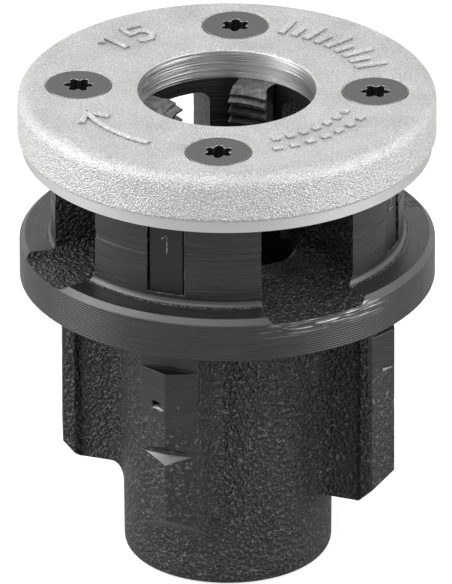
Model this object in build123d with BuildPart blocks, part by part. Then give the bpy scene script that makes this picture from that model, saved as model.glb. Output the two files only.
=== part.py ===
from build123d import *
import os
from math import atan, cos, degrees, radians, sin, tan

# Pipe threading die head: a cast body, four thread-cutting dies in its slots,
# a cast cover plate that holds them in, and four countersunk screws.
# The head stands on the end of its neck. Z is its axis and z = 0 is that end.
# The dies and the driving ribs lie on the X and Y axes.

# Pipe and thread
pipe_diameter = 21.3
guide_clearance = 0.35
thread_pitch = 25.4 / 14
thread_half_angle = 27.5
thread_minor_radius = 9.316
thread_taper = 1 / 16
thread_depth_share = 0.64

# Number of dies, of ribs, of windows and of screws
sides = 4
first_die_angle = -90

# Heights along the axis, from the neck's end up
neck_length = 13.5
rib_length = 36.0
flange_thickness = 7.4
hub_height = 21.0
plate_thickness = 5.1

# Neck and barrel
barrel_radius = 17.2
neck_end_radius = 17.1
neck_edge_rounding = 1.9
neck_fillet = 2.2
guide_mouth_chamfer = 1.2
guide_length = 26.0
relief_bore_extra = 1.2

# Ribs: each ends in one corner of a regular octagon
octagon_corner_radius = 29.3
octagon_corners = 8
land_half_width = 5.0
land_inner_radius = 25.1
web_half_width = 4.1
web_root_half_width = 3.7
web_shoulder = 0.8
web_root_fillet = 3.5
land_edge_rounding = 0.5
foot_chamfer_depth = 4.9
foot_chamfer_heights = (4.6, 4.6, 4.6, 3.9)
relief_radius = 27.5
relief_height = 5.5
notch_radius = 27.9
notch_above_foot = 15.3
notch_width = 0.7
nick_depth = 0.3
nick_above_foot = 17.5
nick_run_out = 2.5
tool_mark_above_foot = 23.7
tool_mark_height = 1.3
tool_mark_width = 2.3
tool_mark_depth = 1.3
tool_mark_from_corner = 0.3

# Flange and hub
flange_radius = 34.2
flange_chamfer = 0.9
flange_lower_chamfer = 0.3
flange_shelf = 5.2
hub_base_fillet = 1.05
hub_groove_depth = 0.12
hub_groove_width = 1.4
hub_groove_above_flange = 9.0
cavity_radius = 14.75
cavity_below_flange_top = 1.4

# Chip windows through the hub, angles counted from the die before each.
# The cast walls do not stand all alike, so each window has its own.
window_start_angles = (31.5, 35.5, 31.5, 33.7)
window_outer_end_angles = (65.6, 65.6, 65.6, 62.4)
window_inner_end_angle = 72.5
window_ceiling = 2.4
window_floor_rise = 0.2
window_rim_drop = 1.0
window_start_rounding = 1.6
window_end_rounding = 3.4
window_top_rounding = 2.0

# Dies
die_width = 6.25
die_end_recess = 0.5
die_edge_chamfer = 0.3
die_bevel_radius = 11.6
die_bevel_angle = 33
first_crest_below_top = 1.25
slot_width = 6.5
slot_floor_height = 1.7
die_top_clearance = 0.05
throat_pitches = 3.0
throat_opening = 0.5
hollow_middle_radius = 12.2
hollow_grind_radius = 4.0
hollow_depth = 0.5

# Cover plate
cover_overhang = 0.2
cover_height = 10.3
cover_edge_rounding = 2.2
cover_band_height = 2.0
cover_band_step = 0.7
cover_step_rounding = 0.63
cover_bore_lip = 0.03
cover_mouth_chamfer = 0.3
cover_hub_clearance = 0.15

# Screws
screw_inset = 4.64
screw_angle = 17.2
screw_radius = 3.0
screw_length = 16.0
screw_head_radius = 5.35
screw_head_angle = 90
screw_head_rim = 0.3
screw_head_sink = 0.1
screw_point_chamfer = 0.6
screw_hole_radius = 3.3
thread_clearance = 0.05
tapped_depth_spare = 1.5
star_outer_radius = 2.45
star_inner_radius = 1.75
star_lobes = 6
star_depth = 2.4

# Spare size of a cutting shape beyond the surface that it cuts,
# and how near a corner of a sketch must lie to be picked
cut_margin = 3.0
pick_distance = 0.2

# Levels worked out from the heights
rib_foot_z = neck_length
flange_bottom_z = rib_foot_z + rib_length
flange_top_z = flange_bottom_z + flange_thickness
hub_top_z = flange_top_z + hub_height
cover_top_z = hub_top_z + plate_thickness
cover_bottom_z = cover_top_z - cover_height
slot_floor_z = flange_top_z + slot_floor_height
die_top_z = hub_top_z - die_top_clearance
cavity_floor_z = flange_top_z - cavity_below_flange_top

# Sizes worked out from the others
side_angle = 360 / sides
hub_radius = flange_radius - flange_shelf
die_outer_radius = hub_radius - die_end_recess
cover_radius = flange_radius + cover_overhang
cover_bore_radius = cavity_radius - cover_bore_lip
screw_circle_radius = hub_radius - screw_inset
facet_slope = tan(radians(180 / octagon_corners))
facet_end_radius = octagon_corner_radius - land_half_width * facet_slope
guide_radius = pipe_diameter / 2 + guide_clearance
relief_bore_radius = guide_radius + relief_bore_extra
outside = octagon_corner_radius + cut_margin
thread_depth = thread_depth_share * thread_pitch
flank_rise = thread_depth * tan(radians(thread_half_angle))
thread_flat = thread_pitch / 2 - flank_rise
helix_angle = degrees(atan(thread_pitch / (360 * radians(thread_minor_radius + thread_depth / 2))))

os.makedirs("parts", exist_ok=True)


def polar_point(radius, angle):
    """Point in plan at this radius and this angle."""
    return (radius * cos(radians(angle)), radius * sin(radians(angle)))


def nearest_vertex(shape, point):
    """Corner of a sketch that lies nearest to this point."""
    return shape.vertices().sort_by_distance(point)[0]


def nearest_edge(shape, point):
    """Edge of a solid that lies nearest to this point."""
    return shape.edges().sort_by_distance(point)[0]


def radial_plane(angle, height=0, tilt=0):
    """Upright plane along the radius at this angle: x runs outwards and y upwards.

    A tilt leans the plane sideways about that radius, at the given height.
    """
    outwards = Vector(1, 0, 0).rotate(Axis.Z, angle)
    sideways = Vector(0, -1, 0).rotate(Axis.X, tilt).rotate(Axis.Z, angle)
    return Plane(origin=(0, 0, height), x_dir=outwards, z_dir=sideways)


def plan_plane(angle, height):
    """Level plane at this height: x runs along the radius at this angle."""
    return Plane(origin=(0, 0, height), x_dir=Vector(1, 0, 0).rotate(Axis.Z, angle), z_dir=(0, 0, 1))


def make_window_cutter(start_angle, outer_end_angle):
    """Chip window for a die at angle 0: from the cavity out through the hub and the flange's edge.

    Its start wall runs along the radius at start_angle. Its end wall meets the outside of
    the hub at outer_end_angle.
    """
    ceiling_z = hub_top_z - window_ceiling
    floor_z = flange_top_z + window_floor_rise
    rim_z = flange_top_z - window_rim_drop
    lowest_z = rim_z - cut_margin
    reach = flange_radius + 2 * cut_margin
    floor_slope = (floor_z - rim_z) / (flange_radius - cavity_radius)
    wall_inner = Vector(*polar_point(cavity_radius, window_inner_end_angle))
    wall_outer = Vector(*polar_point(hub_radius, outer_end_angle))
    wall_along = (wall_outer - wall_inner).normalized()
    with BuildPart() as cutter:
        with BuildSketch(Plane.XY.offset(lowest_z)):
            with BuildLine():
                Polyline(
                    polar_point(cavity_radius / 2, start_angle),
                    polar_point(reach, start_angle),
                    wall_outer + wall_along * reach / 2,
                    wall_inner - wall_along * cavity_radius / 2,
                    close=True,
                )
            make_face()
        extrude(amount=ceiling_z - lowest_z)
        with BuildSketch(Plane.XZ):
            with BuildLine():
                Polyline(
                    (0, floor_z + floor_slope * cavity_radius),
                    (reach, floor_z - floor_slope * (reach - cavity_radius)),
                    (reach, ceiling_z),
                    (0, ceiling_z),
                    close=True,
                )
            make_face()
        revolve(axis=Axis.Z, mode=Mode.INTERSECT)
        start_wall = polar_point(hub_radius, start_angle)
        end_wall = polar_point(hub_radius, outer_end_angle)
        middle_floor_z = floor_z - floor_slope * (hub_radius - cavity_radius)
        fillet(nearest_edge(cutter, (*start_wall, middle_floor_z)), window_start_rounding)
        fillet(nearest_edge(cutter, (*end_wall, middle_floor_z)), window_end_rounding)
        fillet(nearest_edge(cutter, (*start_wall, ceiling_z)), window_top_rounding)
        fillet(nearest_edge(cutter, (*end_wall, ceiling_z)), window_top_rounding)
    return cutter.part


# Body: one casting, turned on its flange, hub and rib ends
with BuildPart() as body:
    # Barrel and four ribs in plan, with large root fillets
    with BuildSketch(Plane.XY.offset(rib_foot_z - neck_fillet)) as rib_plan:
        with PolarLocations(0, sides):
            Polygon(
                (0, web_root_half_width),
                (land_inner_radius - web_shoulder, web_half_width),
                (land_inner_radius, land_half_width),
                (facet_end_radius, land_half_width),
                (octagon_corner_radius, 0),
                (facet_end_radius, -land_half_width),
                (land_inner_radius, -land_half_width),
                (land_inner_radius - web_shoulder, -web_half_width),
                (0, -web_root_half_width),
                align=None,
            )
        Circle(barrel_radius)
        roots = rib_plan.vertices().filter_by(
            lambda v: abs(Vector(v.X, v.Y).length - barrel_radius) < pick_distance
        )
        fillet(roots, web_root_fillet)
        shoulders = rib_plan.vertices().filter_by(
            lambda v: land_inner_radius - 2 * web_shoulder < Vector(v.X, v.Y).length < facet_end_radius
        )
        fillet(shoulders, land_edge_rounding)
    extrude(amount=rib_length + neck_fillet)

    # Turned surfaces of the ribs: foot and relief under the flange
    with BuildSketch(Plane.XZ):
        with BuildLine():
            Line((outside, rib_foot_z - neck_fillet), (barrel_radius, rib_foot_z - neck_fillet))
            CenterArc(
                (barrel_radius + neck_fillet, rib_foot_z - neck_fillet), neck_fillet, 180, -90
            )
            Polyline(
                (barrel_radius + neck_fillet, rib_foot_z),
                (outside, rib_foot_z),
                (outside, rib_foot_z - neck_fillet),
            )
        make_face()
        with BuildLine():
            Polyline(
                (relief_radius, flange_bottom_z - relief_height),
                (outside, flange_bottom_z - relief_height),
                (outside, flange_bottom_z),
                (relief_radius, flange_bottom_z),
                close=True,
            )
        make_face()
    revolve(axis=Axis.Z, mode=Mode.SUBTRACT)

    # Shallow nick round the corners of the other three ribs
    nick_z = rib_foot_z + nick_above_foot
    nick_radius = octagon_corner_radius - nick_depth
    with BuildSketch(radial_plane(first_die_angle + side_angle / 2)):
        with BuildLine():
            Polyline(
                (nick_radius, nick_z),
                (octagon_corner_radius, nick_z - nick_run_out),
                (outside, nick_z - nick_run_out),
                (outside, nick_z + outside - nick_radius),
                close=True,
            )
        make_face()
    revolve(axis=Axis.Z, revolution_arc=360 - side_angle, mode=Mode.SUBTRACT)

    # Spring notch across the first die's rib, with flanks at 45 degrees
    notch_z = rib_foot_z + notch_above_foot
    with BuildSketch(radial_plane(first_die_angle - side_angle / 2)):
        with BuildLine():
            Polyline(
                (notch_radius, notch_z),
                (outside, notch_z - (outside - notch_radius)),
                (outside, notch_z + notch_width + (outside - notch_radius)),
                (notch_radius, notch_z + notch_width),
                close=True,
            )
        make_face()
    revolve(axis=Axis.Z, revolution_arc=side_angle, mode=Mode.SUBTRACT)

    # Flat chamfer on the foot of each rib
    foot_inner_radius = octagon_corner_radius - foot_chamfer_depth
    for index, foot_chamfer_height in enumerate(foot_chamfer_heights):
        foot_slope = foot_chamfer_height / foot_chamfer_depth
        with BuildSketch(radial_plane(index * side_angle)):
            with BuildLine():
                Polyline(
                    (foot_inner_radius, rib_foot_z),
                    (outside, rib_foot_z + foot_slope * (outside - foot_inner_radius)),
                    (outside, rib_foot_z - neck_fillet),
                    (foot_inner_radius, rib_foot_z - neck_fillet),
                    close=True,
                )
            make_face()
        extrude(amount=land_half_width + cut_margin, both=True, mode=Mode.SUBTRACT)

    # Neck, barrel, flange and hub
    groove_z = flange_top_z + hub_groove_above_flange
    with BuildSketch(Plane.XZ) as turned:
        with BuildLine():
            Polyline(
                (0, 0),
                (neck_end_radius, 0),
                (barrel_radius, rib_foot_z - neck_fillet),
                (barrel_radius, flange_bottom_z),
                (flange_radius, flange_bottom_z),
                (flange_radius, flange_top_z),
                (hub_radius, flange_top_z),
                (hub_radius, groove_z - hub_groove_width / 2),
                (hub_radius - hub_groove_depth, groove_z - hub_groove_width / 2),
                (hub_radius - hub_groove_depth, groove_z + hub_groove_width / 2),
                (hub_radius, groove_z + hub_groove_width / 2),
                (hub_radius, hub_top_z),
                (0, hub_top_z),
                close=True,
            )
        make_face()
        fillet(nearest_vertex(turned, (neck_end_radius, 0)), neck_edge_rounding)
        fillet(nearest_vertex(turned, (hub_radius, flange_top_z)), hub_base_fillet)
        chamfer(nearest_vertex(turned, (flange_radius, flange_top_z)), flange_chamfer)
        chamfer(nearest_vertex(turned, (flange_radius, flange_bottom_z)), flange_lower_chamfer)
    revolve(axis=Axis.Z)

    # Cavity under the cover, relief bore and guide bore for the pipe
    with BuildSketch(Plane.XZ):
        with BuildLine():
            Polyline(
                (0, 0),
                (guide_radius + guide_mouth_chamfer, 0),
                (guide_radius, guide_mouth_chamfer),
                (guide_radius, guide_length),
                (relief_bore_radius, guide_length + relief_bore_extra),
                (relief_bore_radius, cavity_floor_z - (cavity_radius - relief_bore_radius)),
                (cavity_radius, cavity_floor_z),
                (cavity_radius, hub_top_z),
                (0, hub_top_z),
                close=True,
            )
        make_face()
    revolve(axis=Axis.Z, mode=Mode.SUBTRACT)

    # Slots for the dies, open at the top and at the hub's wall
    slot_length = hub_radius + cut_margin
    with BuildSketch(Plane.XY.offset(slot_floor_z)):
        with PolarLocations(slot_length / 2, sides, start_angle=first_die_angle):
            Rectangle(slot_length, slot_width)
    extrude(amount=hub_top_z - slot_floor_z, mode=Mode.SUBTRACT)

    # Chip windows
    for index in range(sides):
        cutter = make_window_cutter(window_start_angles[index], window_outer_end_angles[index])
        with Locations(Rotation(0, 0, first_die_angle + index * side_angle)):
            add(cutter, mode=Mode.SUBTRACT)

    # Tapped holes for the cover screws
    with Locations((0, 0, hub_top_z)):
        with PolarLocations(screw_circle_radius, sides, start_angle=first_die_angle + screw_angle):
            Hole(screw_radius, depth=screw_length - plate_thickness + tapped_depth_spare)

    # Tool mark on the clockwise facet of each rib, next to its corner
    mark_near = (-tool_mark_from_corner) * Vector(facet_slope, 1)
    mark_far = mark_near + (-tool_mark_width) * Vector(facet_slope, 1)
    corner = Vector(octagon_corner_radius, 0)
    with BuildSketch(Plane.XY.offset(rib_foot_z + tool_mark_above_foot)):
        with PolarLocations(0, sides):
            Polygon(
                corner + mark_near,
                corner + mark_near + Vector(tool_mark_depth, 0),
                corner + mark_far + Vector(tool_mark_depth, 0),
                corner + mark_far - Vector(tool_mark_depth, 0),
                align=None,
            )
    extrude(amount=tool_mark_height, mode=Mode.SUBTRACT)
body.part.label = "body"

# Cover plate: a cap that seats on the hub's top and closes the slots
with BuildPart() as cover_plate:
    with BuildSketch(Plane.XZ) as cover_outline:
        with BuildLine():
            Polyline(
                (cover_bore_radius, hub_top_z),
                (hub_radius + cover_hub_clearance, hub_top_z),
                (hub_radius + cover_hub_clearance, cover_bottom_z),
                (cover_radius - cover_band_step, cover_bottom_z),
                (cover_radius - cover_band_step, cover_bottom_z + cover_band_height),
                (cover_radius, cover_bottom_z + cover_band_height),
                (cover_radius, cover_top_z),
                (cover_bore_radius, cover_top_z),
                close=True,
            )
        make_face()
        fillet(nearest_vertex(cover_outline, (cover_radius, cover_top_z)), cover_edge_rounding)
        fillet(
            nearest_vertex(cover_outline, (cover_radius, cover_bottom_z + cover_band_height)),
            cover_step_rounding,
        )
        chamfer(nearest_vertex(cover_outline, (cover_bore_radius, cover_top_z)), cover_mouth_chamfer)
    revolve(axis=Axis.Z)
    with Locations((0, 0, cover_top_z)):
        with PolarLocations(screw_circle_radius, sides, start_angle=first_die_angle + screw_angle):
            CounterSinkHole(
                screw_hole_radius,
                screw_head_radius + screw_head_rim + screw_head_sink,
                counter_sink_angle=screw_head_angle,
            )
cover_plate.part.label = "cover_plate"


def thread_outline(crest_z):
    """Half outline of the threaded pipe, that the die's inner end is cut to.

    crest_z is a height at which a tooth of the die has its tip.
    """
    teeth_below = 1 + (crest_z - slot_floor_z) // thread_pitch
    teeth_above = 1 + (die_top_z - crest_z) // thread_pitch
    first = crest_z - teeth_below * thread_pitch
    points = [(0, first)]
    for tooth in range(int(teeth_below + teeth_above)):
        z = first + tooth * thread_pitch
        widening = (die_top_z - z) * thread_taper / 2
        tip = thread_minor_radius + widening
        root = tip + thread_depth
        points.append((tip, z - thread_flat / 2))
        points.append((tip, z + thread_flat / 2))
        points.append((root, z + thread_flat / 2 + flank_rise))
        points.append((root, z + thread_pitch - thread_flat / 2 - flank_rise))
    points.append((0, points[-1][1]))
    return points


def make_die(index):
    """Die in the slot of this index, with its teeth a quarter pitch above the one before."""
    angle = first_die_angle + index * side_angle
    middle_z = (slot_floor_z + die_top_z) / 2
    tooth_plane = radial_plane(angle, middle_z, helix_angle)
    crest_z = die_top_z - first_crest_below_top + thread_pitch * index / sides
    blank_inner_radius = thread_minor_radius - thread_depth
    with BuildPart() as die:
        # Blank, from inside the thread out to its end in the hub's wall
        with BuildSketch(plan_plane(angle, slot_floor_z)):
            with Locations(((blank_inner_radius + die_outer_radius) / 2, 0)):
                Rectangle(die_outer_radius - blank_inner_radius, die_width)
        extrude(amount=die_top_z - slot_floor_z)
        outer_corners = die.edges().filter_by(Axis.Z).sort_by_distance((0, 0, middle_z))[-2:]
        chamfer(outer_corners, die_edge_chamfer)
        # Teeth, leaning by the thread's helix angle
        with BuildSketch(tooth_plane):
            with BuildLine():
                Polyline([(r, z - middle_z) for r, z in thread_outline(crest_z)], close=True)
            make_face()
        revolve(axis=Axis(tooth_plane.origin, tooth_plane.y_dir), mode=Mode.SUBTRACT)
        # Throat below that takes the pipe's end, and bevel above
        throat_end_z = slot_floor_z + throat_pitches * thread_pitch
        throat_radius = thread_minor_radius + thread_depth + throat_opening
        bevel_drop = (die_bevel_radius - blank_inner_radius) * tan(radians(die_bevel_angle))
        with BuildSketch(radial_plane(angle)):
            with BuildLine():
                Polyline(
                    (0, slot_floor_z),
                    (throat_radius, slot_floor_z),
                    (thread_minor_radius, throat_end_z),
                    (0, throat_end_z),
                    close=True,
                )
            make_face()
            with BuildLine():
                Polyline(
                    (0, die_top_z),
                    (die_bevel_radius, die_top_z),
                    (blank_inner_radius, die_top_z - bevel_drop),
                    (0, die_top_z - bevel_drop),
                    close=True,
                )
            make_face()
        revolve(axis=Axis.Z, mode=Mode.SUBTRACT)
        # Hollow ground into the cutting side, behind the teeth
        grind_centre = -(die_width / 2 + hollow_grind_radius - hollow_depth)
        with BuildSketch(plan_plane(angle, slot_floor_z)):
            with Locations((hollow_middle_radius, grind_centre)):
                Circle(hollow_grind_radius)
        extrude(amount=die_top_z - slot_floor_z, mode=Mode.SUBTRACT)
    return die.part


def make_cover_screw(index):
    """Countersunk screw with a star recess, at the hole of this index."""
    angle = first_die_angle + screw_angle + index * side_angle
    x, y = polar_point(screw_circle_radius, angle)
    head_top_z = cover_top_z - screw_head_sink
    shank_radius = screw_radius - thread_clearance
    cone_height = (screw_head_radius - shank_radius) / tan(radians(screw_head_angle / 2))
    with BuildPart() as screw:
        with BuildSketch(Plane(origin=(x, y, head_top_z), x_dir=(1, 0, 0), z_dir=(0, -1, 0))):
            with BuildLine():
                Polyline(
                    (0, 0),
                    (screw_head_radius, 0),
                    (screw_head_radius, -screw_head_rim),
                    (shank_radius, -screw_head_rim - cone_height),
                    (shank_radius, -screw_length + screw_point_chamfer),
                    (shank_radius - screw_point_chamfer, -screw_length),
                    (0, -screw_length),
                    close=True,
                )
            make_face()
        revolve(axis=Axis((x, y, 0), (0, 0, 1)))
        with BuildSketch(plan_plane(angle, head_top_z).shift_origin((x, y, head_top_z))):
            Circle(star_inner_radius)
            with PolarLocations(star_inner_radius, star_lobes):
                Circle(star_outer_radius - star_inner_radius)
        extrude(amount=-star_depth, mode=Mode.SUBTRACT)
    return screw.part


pieces = [body.part, cover_plate.part]
for index in range(sides):
    die = make_die(index)
    die.label = f"die_{index + 1}"
    pieces.append(die)
for index in range(sides):
    screw = make_cover_screw(index)
    screw.label = f"cover_screw_{index + 1}"
    pieces.append(screw)

for piece in pieces:
    export_step(piece, f"parts/{piece.label}.step")
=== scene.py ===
from math import cos, pi, radians, sin

import bpy
from mathutils import Matrix, Vector


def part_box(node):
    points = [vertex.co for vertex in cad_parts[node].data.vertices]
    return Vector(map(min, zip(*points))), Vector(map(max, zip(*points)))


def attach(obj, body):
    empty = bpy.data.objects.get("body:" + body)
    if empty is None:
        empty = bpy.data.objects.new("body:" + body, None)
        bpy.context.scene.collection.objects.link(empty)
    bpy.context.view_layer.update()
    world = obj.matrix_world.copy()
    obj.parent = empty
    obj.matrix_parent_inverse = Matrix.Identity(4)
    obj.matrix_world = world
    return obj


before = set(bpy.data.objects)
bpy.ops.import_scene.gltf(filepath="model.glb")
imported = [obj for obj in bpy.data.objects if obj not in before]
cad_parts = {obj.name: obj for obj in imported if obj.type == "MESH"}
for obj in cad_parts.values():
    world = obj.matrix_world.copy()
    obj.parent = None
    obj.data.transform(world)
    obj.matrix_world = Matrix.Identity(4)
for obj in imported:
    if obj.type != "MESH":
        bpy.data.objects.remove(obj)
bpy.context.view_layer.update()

# Sizes in mm, in the frame of the CAD model: z is the head's axis, z = 0 the neck's end
MM = 0.001
cover_low, cover_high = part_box("cover_plate")
body_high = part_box("body")[1]
die_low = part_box("die_1")[0]
COVER_TOP = cover_high.z / MM
COVER_BOTTOM = cover_low.z / MM
HUB_TOP = body_high.z / MM
FLANGE_RADIUS = body_high.x / MM
DIE_END = -die_low.y / MM
FLANGE_TOP = HUB_TOP - 21.0
FLANGE_BOTTOM = FLANGE_TOP - 7.4
FLANGE_CHAMFER = 0.9
HUB_RADIUS = FLANGE_RADIUS - 5.2
HUB_FILLET = 1.05
HUB_GROOVE_HEIGHT = FLANGE_TOP + 9.0
RIB_FOOT = FLANGE_BOTTOM - 36.0
RIB_FACET_RADIUS = 27.05
# The notch, the nick and the tool mark cut into the rib facets between these heights
RIB_CUTS_FROM = RIB_FOOT + 10.0
TOOL_MARK_FLOOR = RIB_FOOT + 23.7
RIB_CUTS_TO = TOOL_MARK_FLOOR + 2.0
RIB_CUT_DEPTH = 1.5
# The rib facets turn smooth somewhere between these two heights, over a fading stretch
SMOOTH_LOWEST, SMOOTH_HIGHEST, FADING = RIB_FOOT + 16.0, RIB_FOOT + 25.0, 1.5
# The knocked stretch of the rim: the direction of its middle, and where the scratches start and are
# full, along that direction and up the rim
KNOCK_DIRECTION = (cos(radians(-40)), sin(radians(-40)), 0)
KNOCK_START, KNOCK_FULL = FLANGE_RADIUS - 2.4, FLANGE_RADIUS - 1.0
KNOCK_LOWEST, KNOCK_HIGH = FLANGE_TOP - 3.8, FLANGE_TOP - 2.0
BORE_RADIUS = 14.7
BAND_HEIGHT = 2.0
EDGE_ROUNDING = 2.2
SIDES = 4

# Sizes and depths of the surface patterns, in mm, each made for one finish below
BLAST_GRAIN_TOP, BLAST_GRAIN_SIDE, BLAST_DEPTH = 0.24, 0.28, 0.3
# Height in mm over which painted shade darkens the foot of the cover marks
MARK_FOOT_SHADE = 0.4
COVER_LINE_LENGTH, COVER_LINE_WIDTH = 20.0, 0.08
BORE_LINE_DEPTH, BAND_LINE_DEPTH = 0.065, 0.01
STAIN_SIZE = 7
LUMP_SIZE, CAST_GRAIN_SIZE, PEBBLE_SIZE = 0.6, 0.26, 0.5
RAGGED_SIZE = 2.5
STREAK_LENGTH, STREAK_WIDTH, STREAK_DEPTH = 9.0, 0.4, 0.08
RING_PITCH, RING_DEPTH, RING_WAVER = 0.42, 0.03, 0.03
SOFT_EDGE = 0.2
SCRATCH_LENGTH, SCRATCH_WIDTH = 4, 0.3
GRIND_LENGTH, GRIND_WIDTH, CLOUD_SIZE, SPECKLE_SIZE, GRIND_DEPTH = 1.6, 0.25, 1.2, 0.35, 0.03
PHOSPHATE_GRAIN, WORN_SPOT_SIZE, PHOSPHATE_DEPTH = 0.3, 0.8, 0.03
STAMP_GRAIN, STAMP_DEPTH = 0.5, 0.05
# How near a level counts as on it, in mm
ON_FACE, ON_CONE, ON_FLOOR = 0.03, 0.05, 0.05

# Camera, fitted to the photograph
PHOTO_WIDTH, PHOTO_HEIGHT = 452, 584
COVER_CENTRE_PIXEL = (226.9, 87.4)
PIXELS_PER_MM = 6.1
CAMERA_ELEVATION = 25.8
CAMERA_AZIMUTH = 20.5
CAMERA_ROLL = 0.14
CAMERA_DISTANCE = 3400.0
SENSOR_WIDTH = 36.0


def hex_colour(code):
    """Linear colour of an sRGB hex code."""
    channels = [int(code[i:i + 2], 16) / 255 for i in (1, 3, 5)]
    return tuple(c / 12.92 if c <= 0.04045 else ((c + 0.055) / 1.055) ** 2.4 for c in channels) + (1.0,)


def add_node(tree, kind, inputs=None, **settings):
    """Node of a kind, with its settings, and with links or values on its inputs."""
    new = tree.nodes.new(kind)
    for name, value in settings.items():
        setattr(new, name, value)
    for socket, value in (inputs or {}).items():
        if isinstance(value, bpy.types.NodeSocket):
            tree.links.new(value, new.inputs[socket])
        else:
            new.inputs[socket].default_value = value
    return new


def start_material(name):
    """New material, with its node tree and its shader."""
    material = bpy.data.materials.new(name)
    material.use_nodes = True
    tree = material.node_tree
    return material, tree, tree.nodes["Principled BSDF"]


def place_on_head(tree):
    """Place in mm, distance from the axis, and height."""
    object_place = add_node(tree, "ShaderNodeTexCoord").outputs["Object"]
    place = add_node(tree, "ShaderNodeVectorMath", {0: object_place, "Scale": 1 / MM},
                     operation="SCALE").outputs[0]
    parts = add_node(tree, "ShaderNodeSeparateXYZ", {0: place})
    level = add_node(tree, "ShaderNodeCombineXYZ", {0: parts.outputs[0], 1: parts.outputs[1]})
    radius = add_node(tree, "ShaderNodeVectorMath", {0: level.outputs[0]},
                      operation="LENGTH").outputs["Value"]
    return place, radius, parts.outputs[2]


def turning_streaks(tree, place, radius, height, length, width, detail):
    """Streaks that a cutting tool leaves round the axis, on walls and flat faces; sizes in mm."""
    across = add_node(tree, "ShaderNodeMath", {0: radius, 1: height}, operation="ADD").outputs[0]
    thin = add_node(tree, "ShaderNodeMath", {0: across, 1: 1 / width}, operation="MULTIPLY").outputs[0]
    long = add_node(tree, "ShaderNodeVectorMath", {0: place, 1: (1 / length, 1 / length, 0)},
                    operation="MULTIPLY").outputs[0]
    layers = add_node(tree, "ShaderNodeCombineXYZ", {2: thin}).outputs[0]
    stretched = add_node(tree, "ShaderNodeVectorMath", {0: long, 1: layers}, operation="ADD").outputs[0]
    return add_node(tree, "ShaderNodeTexNoise", {"Vector": stretched, "Scale": 1.0,
                                                 "Detail": detail}).outputs[0]


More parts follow.
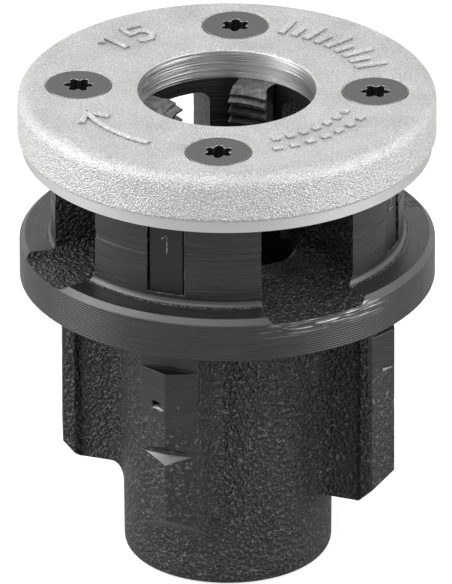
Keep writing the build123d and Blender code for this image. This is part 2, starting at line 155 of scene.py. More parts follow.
# The cover: shot-blasted cast aluminium. Blasting leaves a matt, sandy, pale grey skin,
# coarser on the side than on the top; the bore and the low band are turned bright.
def make_blasted_aluminium():
    material, tree, shader = start_material("blasted_cast_aluminium")
    place, radius, height = place_on_head(tree)
    band = add_node(tree, "ShaderNodeMath", {0: height, 1: COVER_BOTTOM + BAND_HEIGHT},
                    operation="LESS_THAN")
    bore = add_node(tree, "ShaderNodeMath", {0: radius, 1: BORE_RADIUS + 0.1}, operation="LESS_THAN")
    turned = add_node(tree, "ShaderNodeMath", {0: band.outputs[0], 1: bore.outputs[0]},
                      operation="MAXIMUM").outputs[0]
    top = add_node(tree, "ShaderNodeMapRange", {0: height, 1: COVER_TOP - EDGE_ROUNDING,
                                                2: COVER_TOP}).outputs[0]
    # Blasting grain of 0.15 mm, drawn 0.24 mm on the top and 0.28 mm on the side, so that it shows
    fine = add_node(tree, "ShaderNodeTexNoise", {"Vector": place, "Scale": 1 / BLAST_GRAIN_TOP,
                                                 "Detail": 1.0}).outputs[0]
    coarse = add_node(tree, "ShaderNodeTexNoise", {"Vector": place, "Scale": 1 / BLAST_GRAIN_SIDE,
                                                   "Detail": 1.0}).outputs[0]
    grain = add_node(tree, "ShaderNodeMix", {0: top, 2: coarse, 3: fine}).outputs[0]
    sandy = add_node(tree, "ShaderNodeMath", {0: grain, 1: BLAST_DEPTH}, operation="MULTIPLY").outputs[0]
    # Turning lines 0.08 mm wide: hardly seen one by one, they stretch the lamps' light along the bore
    lines = turning_streaks(tree, place, radius, height, COVER_LINE_LENGTH, COVER_LINE_WIDTH, 0.0)
    line_depth = add_node(tree, "ShaderNodeMapRange", {0: band.outputs[0], 3: BORE_LINE_DEPTH,
                                                       4: BAND_LINE_DEPTH}).outputs[0]
    turning = add_node(tree, "ShaderNodeMath", {0: lines, 1: line_depth}, operation="MULTIPLY").outputs[0]
    relief = add_node(tree, "ShaderNodeMix", {0: turned, 2: sandy, 3: turning}).outputs[0]
    bump = add_node(tree, "ShaderNodeBump", {"Height": relief, "Distance": MM, "Strength": 1.0})
    # Painted shade darkens the grain's pits and painted light lifts its peaks; handling has stained the skin
    # in soft patches
    pit_shade_tone = add_node(tree, "ShaderNodeMapRange", {0: top, 3: 0.72, 4: 0.68}).outputs[0]
    pit_shade = add_node(tree, "ShaderNodeMapRange", {0: grain, 1: 0.32, 2: 0.68, 3: pit_shade_tone,
                                                 4: 1.18}).outputs[0]
    patches = add_node(tree, "ShaderNodeTexNoise", {"Vector": place, "Scale": 1 / STAIN_SIZE,
                                                    "Detail": 3.0}).outputs[0]
    stained = add_node(tree, "ShaderNodeMapRange", {0: patches, 1: 0.35, 2: 0.7}).outputs[0]
    face = add_node(tree, "ShaderNodeMix", {0: stained, 6: hex_colour("#CFCFCE"), 7: hex_colour("#C3C3C1")},
                    data_type="RGBA").outputs[2]
    # Painted light: the side is painted a lighter grey than the top, for the light it catches
    skin = add_node(tree, "ShaderNodeMix", {0: top, 6: hex_colour("#D8D8D6"), 7: face},
                    data_type="RGBA").outputs[2]
    grain_shaded_colour = add_node(tree, "ShaderNodeMix", {0: 1.0, 6: skin, 7: pit_shade}, data_type="RGBA",
                      blend_type="MULTIPLY").outputs[2]
    # Painted shade darkens the marks at their foot, and painted light lifts their tops
    raised = add_node(tree, "ShaderNodeMath", {0: height, 1: COVER_TOP + 0.01},
                      operation="GREATER_THAN").outputs[0]
    foot_shade = add_node(tree, "ShaderNodeMapRange", {0: height, 1: COVER_TOP, 2: COVER_TOP + MARK_FOOT_SHADE, 3: 0.3,
                                                 4: 1.08}).outputs[0]
    mark_shade = add_node(tree, "ShaderNodeMix", {0: raised, 2: 1.0, 3: foot_shade}).outputs[0]
    mark_shaded_colour = add_node(tree, "ShaderNodeMix", {0: 1.0, 6: grain_shaded_colour, 7: mark_shade}, data_type="RGBA",
                      blend_type="MULTIPLY").outputs[2]
    smudge = add_node(tree, "ShaderNodeMapRange", {0: lines, 1: 0.3, 2: 0.7}).outputs[0]
    bright = add_node(tree, "ShaderNodeMix", {0: smudge, 6: hex_colour("#D8D8D8"), 7: hex_colour("#FCFCFC")},
                      data_type="RGBA").outputs[2]
    lathe_colour = add_node(tree, "ShaderNodeMix", {0: band.outputs[0], 6: bright, 7: hex_colour("#D4D4D4")},
                            data_type="RGBA").outputs[2]
    colour = add_node(tree, "ShaderNodeMix", {0: turned, 6: mark_shaded_colour, 7: lathe_colour},
                      data_type="RGBA").outputs[2]
    lathe_roughness = add_node(tree, "ShaderNodeMix", {0: band.outputs[0], 2: 0.34, 3: 0.48}).outputs[0]
    roughness = add_node(tree, "ShaderNodeMix", {0: turned, 2: 0.6, 3: lathe_roughness}).outputs[0]
    tree.links.new(bump.outputs[0], shader.inputs["Normal"])
    tree.links.new(colour, shader.inputs["Base Color"])
    tree.links.new(roughness, shader.inputs["Roughness"])
    shader.inputs["Metallic"].default_value = 1.0
    return material


# The body: steel casting with a black oxide finish. Cast skin is an orange peel of lumps that
# catch small glints, with more glints painted light grey on its peaks; the turned hub, flange and
# rib facets are satin, with fine tool lines, and bare steel shows where they are cut or rubbed.
def make_blackened_casting():
    material, tree, shader = start_material("black_oxide_steel_casting")
    place, radius, height = place_on_head(tree)
    slope = add_node(tree, "ShaderNodeSeparateXYZ", {
        0: add_node(tree, "ShaderNodeTexCoord").outputs["Normal"]}).outputs[2]
    ragged = add_node(tree, "ShaderNodeTexNoise", {"Vector": place, "Scale": 1 / RAGGED_SIZE,
                                                   "Detail": 4.0}).outputs[0]

    # Turned zones: the hub's wall, the bores, and the flange's faces, chamfer and rim
    on_wall = add_node(tree, "ShaderNodeMath", {0: radius, 1: HUB_RADIUS - 0.15}, operation="GREATER_THAN")
    over_flange = add_node(tree, "ShaderNodeMath", {0: height, 1: FLANGE_TOP + 0.21},
                           operation="GREATER_THAN")
    hub = add_node(tree, "ShaderNodeMath", {0: on_wall.outputs[0], 1: over_flange.outputs[0]},
                   operation="MULTIPLY").outputs[0]
    top_face = add_node(tree, "ShaderNodeMath", {0: height, 1: FLANGE_TOP, 2: ON_FACE},
                        operation="COMPARE").outputs[0]
    bores = add_node(tree, "ShaderNodeMath", {0: radius, 1: BORE_RADIUS + 0.3},
                     operation="LESS_THAN").outputs[0]
    low_face = add_node(tree, "ShaderNodeMath", {0: height, 1: FLANGE_BOTTOM, 2: ON_FACE},
                        operation="COMPARE").outputs[0]
    rim = add_node(tree, "ShaderNodeMath", {0: radius, 1: FLANGE_RADIUS - 0.05},
                   operation="GREATER_THAN").outputs[0]
    across = add_node(tree, "ShaderNodeMath", {0: radius, 1: height}, operation="ADD").outputs[0]
    on_cone = add_node(tree, "ShaderNodeMath", {0: across, 1: FLANGE_RADIUS + FLANGE_TOP - FLANGE_CHAMFER,
                                                2: ON_CONE}, operation="COMPARE")
    near_edge = add_node(tree, "ShaderNodeMath", {0: radius, 1: FLANGE_RADIUS - FLANGE_CHAMFER},
                         operation="GREATER_THAN")
    chamfer = add_node(tree, "ShaderNodeMath", {0: on_cone.outputs[0], 1: near_edge.outputs[0]},
                       operation="MULTIPLY").outputs[0]
    fillet_height = add_node(tree, "ShaderNodeMath", {0: height, 1: FLANGE_TOP + HUB_FILLET},
                             operation="LESS_THAN")
    fillet = add_node(tree, "ShaderNodeMath", {0: hub, 1: fillet_height.outputs[0]},
                      operation="MULTIPLY").outputs[0]
    level = add_node(tree, "ShaderNodeMath", {0: top_face, 1: low_face}, operation="MAXIMUM").outputs[0]
    faces = add_node(tree, "ShaderNodeMath", {0: level, 1: bores}, operation="MAXIMUM").outputs[0]
    edges = add_node(tree, "ShaderNodeMath", {0: chamfer, 1: rim}, operation="MAXIMUM").outputs[0]
    flange = add_node(tree, "ShaderNodeMath", {0: faces, 1: edges}, operation="MAXIMUM").outputs[0]
    lathe = add_node(tree, "ShaderNodeMath", {0: flange, 1: hub}, operation="MAXIMUM").outputs[0]

    # Rib facets, smooth from a ragged limit up, and the cuts across them
    limit = add_node(tree, "ShaderNodeMapRange", {0: ragged, 1: 0.3, 2: 0.7, 3: SMOOTH_LOWEST,
                                                  4: SMOOTH_HIGHEST}).outputs[0]
    high_up = add_node(tree, "ShaderNodeMath", {0: height, 1: limit}, operation="SUBTRACT")
    fading = add_node(tree, "ShaderNodeMapRange", {0: high_up.outputs[0], 1: -FADING, 2: FADING}).outputs[0]
    on_facet = add_node(tree, "ShaderNodeMath", {0: radius, 1: RIB_FACET_RADIUS - 0.02},
                        operation="GREATER_THAN")
    on_rib = add_node(tree, "ShaderNodeMath", {0: height, 1: FLANGE_BOTTOM + 0.1}, operation="LESS_THAN")
    rib_face = add_node(tree, "ShaderNodeMath", {0: on_rib.outputs[0], 1: on_facet.outputs[0]},
                        operation="MULTIPLY")
    facet = add_node(tree, "ShaderNodeMath", {0: fading, 1: rib_face.outputs[0]},
                     operation="MULTIPLY").outputs[0]
    over_feet = add_node(tree, "ShaderNodeMath", {0: height, 1: RIB_CUTS_FROM}, operation="GREATER_THAN")
    under_flange = add_node(tree, "ShaderNodeMath", {0: height, 1: RIB_CUTS_TO}, operation="LESS_THAN")
    between = add_node(tree, "ShaderNodeMath", {0: over_feet.outputs[0], 1: under_flange.outputs[0]},
                       operation="MULTIPLY")
    near_ends = add_node(tree, "ShaderNodeMath", {0: radius, 1: RIB_FACET_RADIUS - RIB_CUT_DEPTH},
                         operation="GREATER_THAN")
    cut_place = add_node(tree, "ShaderNodeMath", {0: between.outputs[0], 1: near_ends.outputs[0]},
                         operation="MULTIPLY")
    facing_up = add_node(tree, "ShaderNodeMapRange", {0: slope, 1: 0.25, 2: 0.35}).outputs[0]
    cut = add_node(tree, "ShaderNodeMath", {0: facing_up, 1: cut_place.outputs[0]},
                   operation="MULTIPLY").outputs[0]
    # Painted highlight: the up-facing floor of the tool mark is painted near white
    mark_floor = add_node(tree, "ShaderNodeMath", {0: height, 1: TOOL_MARK_FLOOR, 2: ON_FLOOR},
                          operation="COMPARE")
    floor_highlight = add_node(tree, "ShaderNodeMath", {0: mark_floor.outputs[0], 1: cut},
                          operation="MULTIPLY").outputs[0]
    smooth = add_node(tree, "ShaderNodeMath", {0: facet, 1: cut}, operation="MAXIMUM").outputs[0]
    machined = add_node(tree, "ShaderNodeMath", {0: lathe, 1: smooth}, operation="MAXIMUM").outputs[0]

    # Cast skin: lumps of 0.6 mm with rounded pebbles and small grains on them, deeper in some patches
    lumps = add_node(tree, "ShaderNodeTexNoise", {"Vector": place, "Scale": 1 / LUMP_SIZE, "Detail": 1.0,
                                                  "Roughness": 0.5, "Distortion": 0.2}).outputs[0]
    grains = add_node(tree, "ShaderNodeTexNoise", {"Vector": place, "Scale": 1 / CAST_GRAIN_SIZE,
                                                   "Detail": 1.0}).outputs[0]
    pebble = add_node(tree, "ShaderNodeTexVoronoi", {"Vector": place,
                                                     "Scale": 1 / PEBBLE_SIZE}).outputs["Distance"]
    rough_lumps = add_node(tree, "ShaderNodeMath", {0: grains, 1: 0.3, 2: lumps},
                           operation="MULTIPLY_ADD").outputs[0]
    peel = add_node(tree, "ShaderNodeMath", {0: pebble, 1: -0.2, 2: rough_lumps},
                    operation="MULTIPLY_ADD").outputs[0]
    patches = add_node(tree, "ShaderNodeTexNoise", {"Vector": place, "Scale": 1 / STAIN_SIZE,
                                                    "Detail": 2.0}).outputs[0]
    depth = add_node(tree, "ShaderNodeMapRange", {0: patches, 1: 0.35, 2: 0.65, 3: 0.7, 4: 0.95}).outputs[0]
    pressed = add_node(tree, "ShaderNodeMapRange", {0: rib_face.outputs[0], 3: 1.0, 4: 0.45}).outputs[0]
    peel_depth = add_node(tree, "ShaderNodeMath", {0: depth, 1: pressed}, operation="MULTIPLY").outputs[0]
    cast = add_node(tree, "ShaderNodeMath", {0: peel, 1: peel_depth}, operation="MULTIPLY").outputs[0]

    # Tool lines: even rings 0.42 mm apart on the rim, fine streaks elsewhere
    streaks = turning_streaks(tree, place, radius, height, STREAK_LENGTH, STREAK_WIDTH, 3.0)
    waver = add_node(tree, "ShaderNodeMath", {0: ragged, 1: RING_WAVER, 2: across},
                     operation="MULTIPLY_ADD").outputs[0]
    turns = add_node(tree, "ShaderNodeMath", {0: waver, 1: 2 * pi / RING_PITCH},
                     operation="MULTIPLY").outputs[0]
    wave = add_node(tree, "ShaderNodeMath", {0: turns}, operation="SINE").outputs[0]
    rings = add_node(tree, "ShaderNodeMath", {0: wave, 1: RING_DEPTH}, operation="MULTIPLY").outputs[0]
    fine_rings = add_node(tree, "ShaderNodeMath", {0: rings, 1: rim}, operation="MULTIPLY").outputs[0]
    streak_depth = add_node(tree, "ShaderNodeMapRange", {0: rim, 3: STREAK_DEPTH, 4: 0.0}).outputs[0]
    tooled = add_node(tree, "ShaderNodeMath", {0: streaks, 1: streak_depth, 2: fine_rings},
                      operation="MULTIPLY_ADD").outputs[0]
    relief = add_node(tree, "ShaderNodeMix", {0: machined, 2: cast, 3: tooled}).outputs[0]

    # Sharp edges are a little round, and rubbed bright in places, but not in the groove and the fillet
    soft_edges = add_node(tree, "ShaderNodeBevel", {"Radius": SOFT_EDGE * MM}, samples=6).outputs[0]
    flat = add_node(tree, "ShaderNodeNewGeometry").outputs["Normal"]
    agreement = add_node(tree, "ShaderNodeVectorMath", {0: soft_edges, 1: flat}, operation="DOT_PRODUCT")
    edge = add_node(tree, "ShaderNodeMapRange", {0: agreement.outputs["Value"], 1: 0.95, 2: 0.85}).outputs[0]
    chipped = add_node(tree, "ShaderNodeMapRange", {0: ragged, 1: 0.5, 2: 0.62}).outputs[0]
    in_groove = add_node(tree, "ShaderNodeMath", {0: height, 1: HUB_GROOVE_HEIGHT, 2: 1.2},
                         operation="COMPARE")
    in_fillet = add_node(tree, "ShaderNodeMath", {0: height, 1: FLANGE_TOP + 0.5, 2: 0.9},
                         operation="COMPARE")
    kept = add_node(tree, "ShaderNodeMath", {0: in_groove.outputs[0], 1: in_fillet.outputs[0]},
                    operation="MAXIMUM")
    elsewhere = add_node(tree, "ShaderNodeMath", {0: chipped, 1: kept.outputs[0]}, operation="SUBTRACT",
                         use_clamp=True)
    rubbed = add_node(tree, "ShaderNodeMath", {0: edge, 1: elsewhere.outputs[0]},
                      operation="MULTIPLY").outputs[0]
    bump = add_node(tree, "ShaderNodeBump", {"Height": relief, "Distance": MM, "Strength": 1.0,
                                             "Normal": soft_edges})

    # Knocks have scratched the upper half of the rim over one stretch, in the turning direction
    knocked = add_node(tree, "ShaderNodeVectorMath", {0: place, 1: KNOCK_DIRECTION},
                       operation="DOT_PRODUCT").outputs["Value"]
    along = add_node(tree, "ShaderNodeMapRange", {0: knocked, 1: KNOCK_START, 2: KNOCK_FULL}).outputs[0]
    upper = add_node(tree, "ShaderNodeMapRange", {0: height, 1: KNOCK_LOWEST, 2: KNOCK_HIGH}).outputs[0]
    knock_zone = add_node(tree, "ShaderNodeMath", {0: along, 1: upper}, operation="MULTIPLY").outputs[0]
    scratch_scale = (1 / SCRATCH_LENGTH, 1 / SCRATCH_LENGTH, 1 / SCRATCH_WIDTH)
    scratch_place = add_node(tree, "ShaderNodeVectorMath", {0: place, 1: scratch_scale},
                             operation="MULTIPLY").outputs[0]
    scratch_noise = add_node(tree, "ShaderNodeTexNoise", {"Vector": scratch_place, "Scale": 1.0,
                                                          "Detail": 3.0})
    scratch = add_node(tree, "ShaderNodeMapRange", {0: scratch_noise.outputs[0], 1: 0.52, 2: 0.6}).outputs[0]
    scratched = add_node(tree, "ShaderNodeMath", {0: scratch, 1: knock_zone}, operation="MULTIPLY").outputs[0]
    on_edges = add_node(tree, "ShaderNodeMath", {0: scratched, 1: edges}, operation="MULTIPLY").outputs[0]

    # Colour: black, greyer on the tool's lines, bare grey steel on chamfer, fillet, cuts and rubs,
    # and a painted highlight on the floor of the tool mark: its bare steel is painted a near-white matt
    # Painted shade and light: the skin is darker in the hollows of the peel and lighter on its lumps
    skin = add_node(tree, "ShaderNodeMapRange", {0: lumps, 1: 0.35, 2: 0.65}).outputs[0]
    lump_shaded_skin = add_node(tree, "ShaderNodeMix", {0: skin, 6: hex_colour("#0C0C0C"), 7: hex_colour("#262626")},
                         data_type="RGBA").outputs[2]
    # Painted glints: the peaks of the peel are painted light grey
    painted_glint = add_node(tree, "ShaderNodeMapRange", {0: peel, 1: 0.66, 2: 0.84}).outputs[0]
    cast_colour = add_node(tree, "ShaderNodeMix", {0: painted_glint, 6: lump_shaded_skin, 7: hex_colour("#707070")},
                           data_type="RGBA").outputs[2]
    line = add_node(tree, "ShaderNodeMapRange", {0: streaks, 1: 0.3, 2: 0.7}).outputs[0]
    turned_colour = add_node(tree, "ShaderNodeMix", {0: line, 6: hex_colour("#101010"),
                                                     7: hex_colour("#2A2A2A")},
                             data_type="RGBA").outputs[2]
    # Painted highlight: the crests of the rim's rings are painted a lighter grey
    crest_highlight = add_node(tree, "ShaderNodeMapRange", {0: wave, 1: 0.5, 2: 1.0, 3: 0.0, 4: 0.35}).outputs[0]
    ring_highlight = add_node(tree, "ShaderNodeMath", {0: crest_highlight, 1: rim}, operation="MULTIPLY").outputs[0]
    highlit_ring_colour = add_node(tree, "ShaderNodeMix", {0: ring_highlight, 6: turned_colour,
                                                     7: hex_colour("#5A5A5A")},
                             data_type="RGBA").outputs[2]
    black = add_node(tree, "ShaderNodeMix", {0: machined, 6: cast_colour, 7: highlit_ring_colour},
                     data_type="RGBA").outputs[2]
    bright_cuts = add_node(tree, "ShaderNodeMath", {0: fillet, 1: chamfer}, operation="MAXIMUM").outputs[0]
    thin_oxide = add_node(tree, "ShaderNodeMath", {0: bright_cuts, 1: 0.17}, operation="MULTIPLY").outputs[0]
    cut_wear = add_node(tree, "ShaderNodeMapRange", {0: streaks, 1: 0.35, 2: 0.65, 3: 0.2,
                                                     4: 0.55}).outputs[0]
    worn_cut = add_node(tree, "ShaderNodeMath", {0: cut, 1: cut_wear}, operation="MULTIPLY").outputs[0]
    rub = add_node(tree, "ShaderNodeMath", {0: rubbed, 1: 0.7}, operation="MULTIPLY").outputs[0]
    wear = add_node(tree, "ShaderNodeMath", {0: thin_oxide, 1: worn_cut}, operation="MAXIMUM").outputs[0]
    knocks = add_node(tree, "ShaderNodeMath", {0: rub, 1: on_edges}, operation="MAXIMUM").outputs[0]
    bare = add_node(tree, "ShaderNodeMath", {0: wear, 1: knocks}, operation="MAXIMUM").outputs[0]
    steel = add_node(tree, "ShaderNodeMix", {0: bare, 6: black, 7: hex_colour("#A6A6A4")},
                     data_type="RGBA").outputs[2]
    colour = add_node(tree, "ShaderNodeMix", {0: floor_highlight, 6: steel, 7: hex_colour("#F2F2F0")},
                      data_type="RGBA").outputs[2]
    metal = add_node(tree, "ShaderNodeMath", {0: bare, 1: floor_highlight}, operation="SUBTRACT", use_clamp=True)
    turned_roughness = add_node(tree, "ShaderNodeMapRange", {0: ragged, 1: 0.3, 2: 0.7, 3: 0.32,
                                                             4: 0.42}).outputs[0]
    oxide_roughness = add_node(tree, "ShaderNodeMix", {0: machined, 2: 0.42, 3: turned_roughness}).outputs[0]
    roughness = add_node(tree, "ShaderNodeMix", {0: bare, 2: oxide_roughness, 3: 0.34}).outputs[0]
    tree.links.new(bump.outputs[0], shader.inputs["Normal"])
    tree.links.new(colour, shader.inputs["Base Color"])
    tree.links.new(roughness, shader.inputs["Roughness"])
    tree.links.new(metal.outputs[0], shader.inputs["Metallic"])
    shader.inputs["IOR"].default_value = 1.58
    return material


# The dies: hardened tool steel. Ground flanks and bevels have a dull grey, speckled sheen;
# the outer ends are as black as the hub.
def make_ground_tool_steel():
    material, tree, shader = start_material("ground_tool_steel")
    place, radius, _ = place_on_head(tree)
    outer = add_node(tree, "ShaderNodeMath", {0: radius, 1: DIE_END - 0.35},
                     operation="GREATER_THAN").outputs[0]
    grind_scale = (1 / GRIND_WIDTH, 1 / GRIND_WIDTH, 1 / GRIND_LENGTH)
    stretched = add_node(tree, "ShaderNodeVectorMath", {0: place, 1: grind_scale},
                         operation="MULTIPLY").outputs[0]
    streaks = add_node(tree, "ShaderNodeTexNoise", {"Vector": stretched, "Scale": 1.0,
                                                    "Detail": 3.0}).outputs[0]
    cloudy = add_node(tree, "ShaderNodeTexNoise", {"Vector": place, "Scale": 1 / CLOUD_SIZE,
                                                   "Detail": 4.0}).outputs[0]
    speckle = add_node(tree, "ShaderNodeTexNoise", {"Vector": place, "Scale": 1 / SPECKLE_SIZE,
                                                    "Detail": 2.0}).outputs[0]
    tone = add_node(tree, "ShaderNodeMapRange", {0: cloudy, 1: 0.35, 2: 0.7}).outputs[0]
    ground = add_node(tree, "ShaderNodeMix", {0: tone, 6: hex_colour("#525252"), 7: hex_colour("#767676")},
                      data_type="RGBA").outputs[2]
    spots = add_node(tree, "ShaderNodeMapRange", {0: speckle, 1: 0.3, 2: 0.7, 3: 0.7, 4: 1.3}).outputs[0]
    speckled = add_node(tree, "ShaderNodeMix", {0: 1.0, 6: ground, 7: spots}, data_type="RGBA",
                        blend_type="MULTIPLY").outputs[2]
    dull = add_node(tree, "ShaderNodeMix", {0: tone, 6: hex_colour("#101010"), 7: hex_colour("#1A1A1A")},
                    data_type="RGBA").outputs[2]
    colour = add_node(tree, "ShaderNodeMix", {0: outer, 6: speckled, 7: dull}, data_type="RGBA").outputs[2]
    metal = add_node(tree, "ShaderNodeMath", {0: 1.0, 1: outer}, operation="SUBTRACT").outputs[0]
    mixed = add_node(tree, "ShaderNodeMath", {0: speckle, 1: 0.6, 2: streaks},
                     operation="MULTIPLY_ADD").outputs[0]
    bump = add_node(tree, "ShaderNodeBump", {"Height": mixed, "Distance": GRIND_DEPTH * MM, "Strength": 1.0})
    tree.links.new(bump.outputs[0], shader.inputs["Normal"])
    tree.links.new(colour, shader.inputs["Base Color"])
    tree.links.new(metal, shader.inputs["Metallic"])
    shader.inputs["Roughness"].default_value = 0.4
    return material


# The screws: phosphated steel, an even satin grey with bright worn spots in the recess, and edges painted
# bright, partly rubbed wear and partly painted highlight
def make_phosphated_steel():
    material, tree, shader = start_material("phosphated_screw_steel")
    place, _, height = place_on_head(tree)
    grain = add_node(tree, "ShaderNodeTexNoise", {"Vector": place, "Scale": 1 / PHOSPHATE_GRAIN,
                                                  "Detail": 2.0}).outputs[0]
    spots = add_node(tree, "ShaderNodeTexNoise", {"Vector": place, "Scale": 1 / WORN_SPOT_SIZE,
                                                  "Detail": 5.0}).outputs[0]
    worn = add_node(tree, "ShaderNodeMapRange", {0: spots, 1: 0.62, 2: 0.68}).outputs[0]
    in_recess = add_node(tree, "ShaderNodeMapRange", {0: height, 1: COVER_TOP - 0.25,
                                                      2: COVER_TOP - 0.45}).outputs[0]
    rubbed = add_node(tree, "ShaderNodeMath", {0: worn, 1: in_recess}, operation="MULTIPLY").outputs[0]
    tone = add_node(tree, "ShaderNodeMix", {0: grain, 6: hex_colour("#565656"), 7: hex_colour("#707070")},
                    data_type="RGBA").outputs[2]
    soft_edges = add_node(tree, "ShaderNodeBevel", {"Radius": SOFT_EDGE * MM}, samples=6).outputs[0]
    flat = add_node(tree, "ShaderNodeNewGeometry").outputs["Normal"]
    agreement = add_node(tree, "ShaderNodeVectorMath", {0: soft_edges, 1: flat}, operation="DOT_PRODUCT")
    # Painted highlight and wear: the edges lighten towards bright grey
    edge = add_node(tree, "ShaderNodeMapRange", {0: agreement.outputs["Value"], 1: 0.97, 2: 0.85, 3: 0.0,
                                                 4: 0.8}).outputs[0]
    wear_and_highlight = add_node(tree, "ShaderNodeMath", {0: edge, 1: rubbed}, operation="MAXIMUM").outputs[0]
    colour = add_node(tree, "ShaderNodeMix", {0: wear_and_highlight, 6: tone, 7: hex_colour("#C8C8C8")},
                      data_type="RGBA").outputs[2]
    bump = add_node(tree, "ShaderNodeBump", {"Height": grain, "Distance": PHOSPHATE_DEPTH * MM,
                                             "Strength": 1.0, "Normal": soft_edges})
    tree.links.new(bump.outputs[0], shader.inputs["Normal"])
    tree.links.new(colour, shader.inputs["Base Color"])
    shader.inputs["Metallic"].default_value = 1.0
    shader.inputs["Roughness"].default_value = 0.38
    return material


# The numbers on the dies: bare steel where the stamp broke the black finish, light grey and uneven
def make_stamped_steel():
    material, tree, shader = start_material("bare_stamped_steel")
    place, _, _ = place_on_head(tree)
    uneven = add_node(tree, "ShaderNodeTexNoise", {"Vector": place, "Scale": 1 / STAMP_GRAIN,
                                                   "Detail": 3.0}).outputs[0]
    tone = add_node(tree, "ShaderNodeMapRange", {0: uneven, 1: 0.35, 2: 0.65}).outputs[0]
    colour = add_node(tree, "ShaderNodeMix", {0: tone, 6: hex_colour("#4C4C4C"), 7: hex_colour("#B4B4B4")},
                      data_type="RGBA").outputs[2]
    bump = add_node(tree, "ShaderNodeBump", {"Height": uneven, "Distance": STAMP_DEPTH * MM, "Strength": 1.0})
    tree.links.new(bump.outputs[0], shader.inputs["Normal"])
    tree.links.new(colour, shader.inputs["Base Color"])
    shader.inputs["Metallic"].default_value = 1.0
    shader.inputs["Roughness"].default_value = 0.45
    return material


def dress(piece, material):
    """The piece wears this material alone."""
    piece.data.materials.clear()
    piece.data.materials.append(material)


def finish_piece(piece, name, material):
    """Names a new piece, settles its place into its mesh, and sets it on the head."""
    bpy.ops.object.select_all(action="DESELECT")
    piece.select_set(True)
    bpy.context.view_layer.objects.active = piece
    bpy.ops.object.transform_apply(location=True, rotation=True, scale=True)
    piece.name = name
    piece.data.name = name
    dress(piece, material)
    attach(piece, "root")


# Strokes of plain figures, as points (x, y) in a box one unit high
FIGURES = {
    "1": [[(0.08, 0.74), (0.34, 1.0), (0.34, 0.0)]],
    "2": [[(0.02, 0.76), (0.1, 0.93), (0.3, 1.0), (0.5, 0.93), (0.56, 0.74), (0.46, 0.5), (0.02, 0.0),
           (0.6, 0.0)]],
    "3": [[(0.02, 0.84), (0.26, 1.0), (0.52, 0.86), (0.5, 0.62), (0.28, 0.52), (0.54, 0.4), (0.56, 0.16),
           (0.28, 0.0), (0.0, 0.14)]],
    "4": [[(0.44, 0.0), (0.44, 1.0), (0.0, 0.3), (0.62, 0.3)]],
    "5": [[(0.54, 1.0), (0.08, 1.0), (0.04, 0.56), (0.3, 0.63), (0.52, 0.5), (0.56, 0.26), (0.4, 0.04),
           (0.2, 0.0), (0.0, 0.1)]],
}


def draw_strokes(name, strokes, width):
    """Round ridges, width mm wide, along strokes of (x, y, z) points in mm."""
    curve = bpy.data.curves.new(name, "CURVE")
    curve.dimensions = "3D"
    curve.bevel_depth = width / 2 * MM
    curve.bevel_resolution = 3
    curve.use_fill_caps = True
    for stroke in strokes:
        spline = curve.splines.new("POLY")
        spline.points.add(len(stroke) - 1)
        for point, place in zip(spline.points, stroke):
            point.co = (*(c * MM for c in place), 1)
    ridge = bpy.data.objects.new(name, curve)
    bpy.context.scene.collection.objects.link(ridge)
    bpy.ops.object.select_all(action="DESELECT")
    ridge.select_set(True)
    bpy.context.view_layer.objects.active = ridge
    bpy.ops.object.convert(target="MESH")
    bpy.ops.object.shade_smooth()
    return bpy.context.active_object


# Raised marks on the cover, tops towards the rim: middle angle in degrees, base radius in mm, and for
# two of them the height in mm; then the sizes of their strokes in mm
NUMBER_MARK = (151.0, 22.4, 5.6, "15")
SCALE_MARK = (63.5, 22.4, 5.4)
ARROW_MARK = (-118.3, 22.4)
DASH_MARK = (-25.5, 21.6)
MARK_WIDTH = 1.3
MARK_FLATNESS = 0.9
FIGURE_SPACING, FIGURE_SHIFT = 0.9, 0.6
SCALE_STEP, SHORT_STROKE = 2.3, 0.62
ARROW_HALF_LENGTH, ARROW_BARB, ARROW_HALF_HEIGHT = 7, 2.8, 2.6
DASH_STEP, DASH_LENGTH, DASH_ROW_GAP, DASH_ROW_SHIFT = 2.6, 1.3, 3.4, 0.9


def make_cover_marks(material):
    """Raised marks cast on the cover: a number, a scale, a turning arrow and rows of dashes."""
    strokes = []

    def along_ring(middle, base, points):
        """Points (along, up) in mm, bent round the axis; middle is the angle of their middle."""
        ring = []
        for along, up in points:
            angle = radians(middle) - along / base
            ring.append(((base + up) * cos(angle), (base + up) * sin(angle), COVER_TOP))
        return ring

    middle, base, high, number = NUMBER_MARK
    for place, figure in enumerate(number):
        start = (place - 1) * high * FIGURE_SPACING + FIGURE_SHIFT
        for stroke in FIGURES[figure]:
            strokes.append(along_ring(middle, base, [(start + x * high, y * high) for x, y in stroke]))
    middle, base, high = SCALE_MARK
    for step in range(-4, 5):
        place = step * SCALE_STEP
        top = high * (SHORT_STROKE if step % 2 else 1.0)
        strokes.append(along_ring(middle, base, [(place, 0.0), (place, top)]))
    middle, base = ARROW_MARK
    tip, level = ARROW_HALF_LENGTH, ARROW_HALF_HEIGHT
    strokes.append(along_ring(middle, base, [(step, level) for step in range(-tip, tip + 1)]))
    barb = tip - ARROW_BARB
    strokes.append(along_ring(middle, base, [(barb, 2 * level), (tip, level), (barb, 0.0)]))
    middle, base = DASH_MARK
    for row in range(2):
        for step in range(-3, 4):
            start = step * DASH_STEP + row * DASH_ROW_SHIFT
            level = row * DASH_ROW_GAP
            strokes.append(along_ring(middle, base, [(start, level), (start + DASH_LENGTH, level)]))
    marks = draw_strokes("cover_marks", strokes, MARK_WIDTH)
    finish_piece(marks, "cover_marks", material)
    bpy.ops.object.mode_set(mode="EDIT")
    bpy.ops.mesh.select_all(action="SELECT")
    bpy.ops.transform.resize(value=(1, 1, MARK_FLATNESS), center_override=(0, 0, COVER_TOP * MM))
    bpy.ops.object.mode_set(mode="OBJECT")


# Number stamped on each die's outer end: height of its foot, its middle across, and its size
STAMP_FOOT = 65.6
STAMP_MIDDLE = 0.3
STAMP_HEIGHT = 3.4
STAMP_WIDTH = 0.24


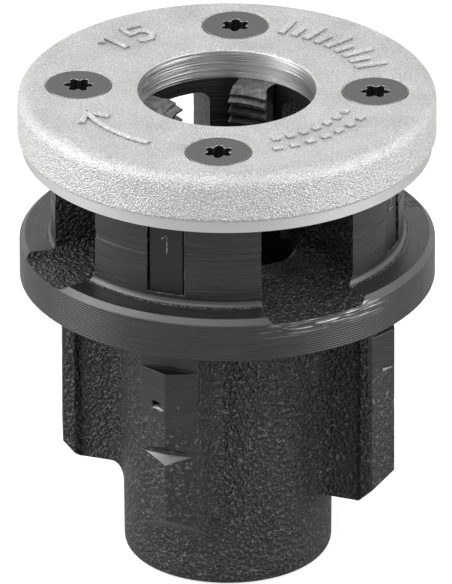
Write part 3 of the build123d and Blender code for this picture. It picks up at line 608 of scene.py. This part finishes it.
def make_die_numbers(material):
    """The numbers 1 to 4, stamped on the dies, with the burr that the stamp throws up."""
    strokes = []
    for number in range(1, SIDES + 1):
        turn = Matrix.Rotation((number - 1) * pi / 2, 3, "Z")
        for stroke in FIGURES[str(number)]:
            flat = [((x - STAMP_MIDDLE) * STAMP_HEIGHT, -DIE_END, STAMP_FOOT + y * STAMP_HEIGHT)
                    for x, y in stroke]
            strokes.append([turn @ Vector(point) for point in flat])
    numbers = draw_strokes("die_numbers", strokes, STAMP_WIDTH)
    finish_piece(numbers, "die_numbers", material)


def make_camera():
    """Camera of the photograph."""
    azimuth, elevation = radians(CAMERA_AZIMUTH), radians(CAMERA_ELEVATION)
    back = Vector((sin(azimuth) * cos(elevation), -cos(azimuth) * cos(elevation), sin(elevation)))
    right = Vector((cos(azimuth), sin(azimuth), 0))
    up = back.cross(right)
    roll = Matrix.Rotation(-radians(CAMERA_ROLL), 3, back)
    right, up = roll @ right, roll @ up
    top = Vector((0, 0, COVER_TOP * MM))
    across = (PHOTO_WIDTH / 2 - COVER_CENTRE_PIXEL[0]) / PIXELS_PER_MM * MM
    down = (PHOTO_HEIGHT / 2 - COVER_CENTRE_PIXEL[1]) / PIXELS_PER_MM * MM
    target = top + right * across - up * down
    data = bpy.data.cameras.new("camera")
    data.lens = PIXELS_PER_MM * CAMERA_DISTANCE * SENSOR_WIDTH / PHOTO_HEIGHT
    data.sensor_width = SENSOR_WIDTH
    data.clip_start, data.clip_end = 0.1, 20
    camera = bpy.data.objects.new("camera", data)
    camera.matrix_world = Matrix.Translation(target + back * CAMERA_DISTANCE * MM) @ Matrix(
        (right, up, back)).transposed().to_4x4()
    bpy.context.scene.collection.objects.link(camera)
    bpy.context.scene.camera = camera


# The lamps look at this height in m. Strengths of the backdrop and the floor: 1 is white
LAMP_AIM_HEIGHT = 0.045
MIRRORED_IN_FRONT, MIRRORED_BEHIND, SOFT_FILL = 0.35, 1.0, 0.25
FLOOR_GLOW, MIRRORED_FLOOR_GLOW = 0.75, 0.05
FLOOR_RADIUS = 1.2


def studio_direction(side, elevation):
    """Direction from the head: degrees to the right of the camera, degrees above the horizon."""
    angle = radians(CAMERA_AZIMUTH - 90 + side)
    level = cos(radians(elevation))
    return Vector((cos(angle) * level, sin(angle) * level, sin(radians(elevation))))


def add_softbox(name, side, elevation, distance, width, height, radiance):
    """Rectangular lamp that looks at the head, in m; radiance 1 is as bright as the white backdrop."""
    data = bpy.data.lights.new(name, "AREA")
    data.shape = "RECTANGLE"
    data.size, data.size_y = width, height
    data.energy = radiance * pi * width * height
    lamp = bpy.data.objects.new(name, data)
    direction = studio_direction(side, elevation)
    lamp.location = direction * distance + Vector((0, 0, LAMP_AIM_HEIGHT))
    lamp.rotation_mode = "QUATERNION"
    lamp.rotation_quaternion = direction.to_track_quat("Z", "Y")
    bpy.context.scene.collection.objects.link(lamp)


def make_world():
    """Backdrop: white to the camera and through glass, mirrored white behind the head and dimmer
    in front of it, with a soft fill for the rest."""
    world = bpy.data.worlds.new("studio")
    bpy.context.scene.world = world
    world.use_nodes = True
    world.cycles.sampling_method = "NONE"
    tree = world.node_tree
    background = tree.nodes["Background"]
    path = add_node(tree, "ShaderNodeLightPath")
    direction = add_node(tree, "ShaderNodeTexCoord").outputs["Generated"]
    behind = -studio_direction(-12, -10)
    backness = add_node(tree, "ShaderNodeVectorMath", {0: direction, 1: behind},
                        operation="DOT_PRODUCT").outputs["Value"]
    studio = add_node(tree, "ShaderNodeMapRange", {0: backness, 1: -0.4, 2: 0.7, 3: MIRRORED_IN_FRONT,
                                                   4: MIRRORED_BEHIND}).outputs[0]
    glossy = add_node(tree, "ShaderNodeMath", {0: path.outputs["Is Glossy Ray"], 1: studio},
                      operation="MULTIPLY").outputs[0]
    seen = add_node(tree, "ShaderNodeMath", {0: path.outputs["Is Camera Ray"],
                                             1: path.outputs["Is Transmission Ray"]},
                    operation="MAXIMUM").outputs[0]
    bright = add_node(tree, "ShaderNodeMath", {0: seen, 1: glossy}, operation="MAXIMUM").outputs[0]
    strength = add_node(tree, "ShaderNodeMath", {0: bright, 1: SOFT_FILL}, operation="MAXIMUM").outputs[0]
    tree.links.new(strength, background.inputs["Strength"])
    background.inputs["Color"].default_value = hex_colour("#FFFFFF")


def make_floor():
    """Pale table top: it takes the head's shadow, and glows white to the camera, a little to metal too."""
    bpy.ops.object.select_all(action="DESELECT")
    bpy.ops.mesh.primitive_circle_add(vertices=96, radius=FLOOR_RADIUS, fill_type="NGON")
    floor = bpy.context.active_object
    floor.name = "floor"
    material, tree, shader = start_material("white_table_paper")
    path = add_node(tree, "ShaderNodeLightPath")
    mirrored = add_node(tree, "ShaderNodeMath", {0: path.outputs["Is Glossy Ray"],
                                                 1: path.outputs["Is Transmission Ray"]},
                        operation="MAXIMUM").outputs[0]
    dimmer = add_node(tree, "ShaderNodeMath", {0: mirrored, 1: MIRRORED_FLOOR_GLOW},
                      operation="MULTIPLY").outputs[0]
    glow = add_node(tree, "ShaderNodeMath", {0: path.outputs["Is Camera Ray"], 1: FLOOR_GLOW, 2: dimmer},
                    operation="MULTIPLY_ADD").outputs[0]
    tree.links.new(glow, shader.inputs["Emission Strength"])
    shader.inputs["Emission Color"].default_value = hex_colour("#FFFFFF")
    shader.inputs["Base Color"].default_value = hex_colour("#C4C4C4")
    shader.inputs["Roughness"].default_value = 1.0
    shader.inputs["Specular IOR Level"].default_value = 0.0
    material.cycles.emission_sampling = "NONE"
    dress(floor, material)


aluminium = make_blasted_aluminium()
casting = make_blackened_casting()
tool_steel = make_ground_tool_steel()
screw_steel = make_phosphated_steel()
stamped_steel = make_stamped_steel()

dress(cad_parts["body"], casting)
dress(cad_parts["cover_plate"], aluminium)
for number in range(1, SIDES + 1):
    dress(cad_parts[f"die_{number}"], tool_steel)
    dress(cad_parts[f"cover_screw_{number}"], screw_steel)
make_cover_marks(aluminium)
make_die_numbers(stamped_steel)

make_floor()
make_world()
add_softbox("left_softbox", side=-84, elevation=28, distance=0.75, width=0.5, height=0.85, radiance=4.4)
add_softbox("right_softbox", side=68, elevation=22, distance=0.75, width=0.55, height=0.75, radiance=3.6)
add_softbox("front_softbox", side=-20, elevation=50, distance=0.9, width=0.6, height=0.5, radiance=1.8)
add_softbox("top_softbox", side=150, elevation=78, distance=0.8, width=0.5, height=0.5, radiance=0.5)
make_camera()
bpy.context.scene.view_settings.view_transform = "Standard"
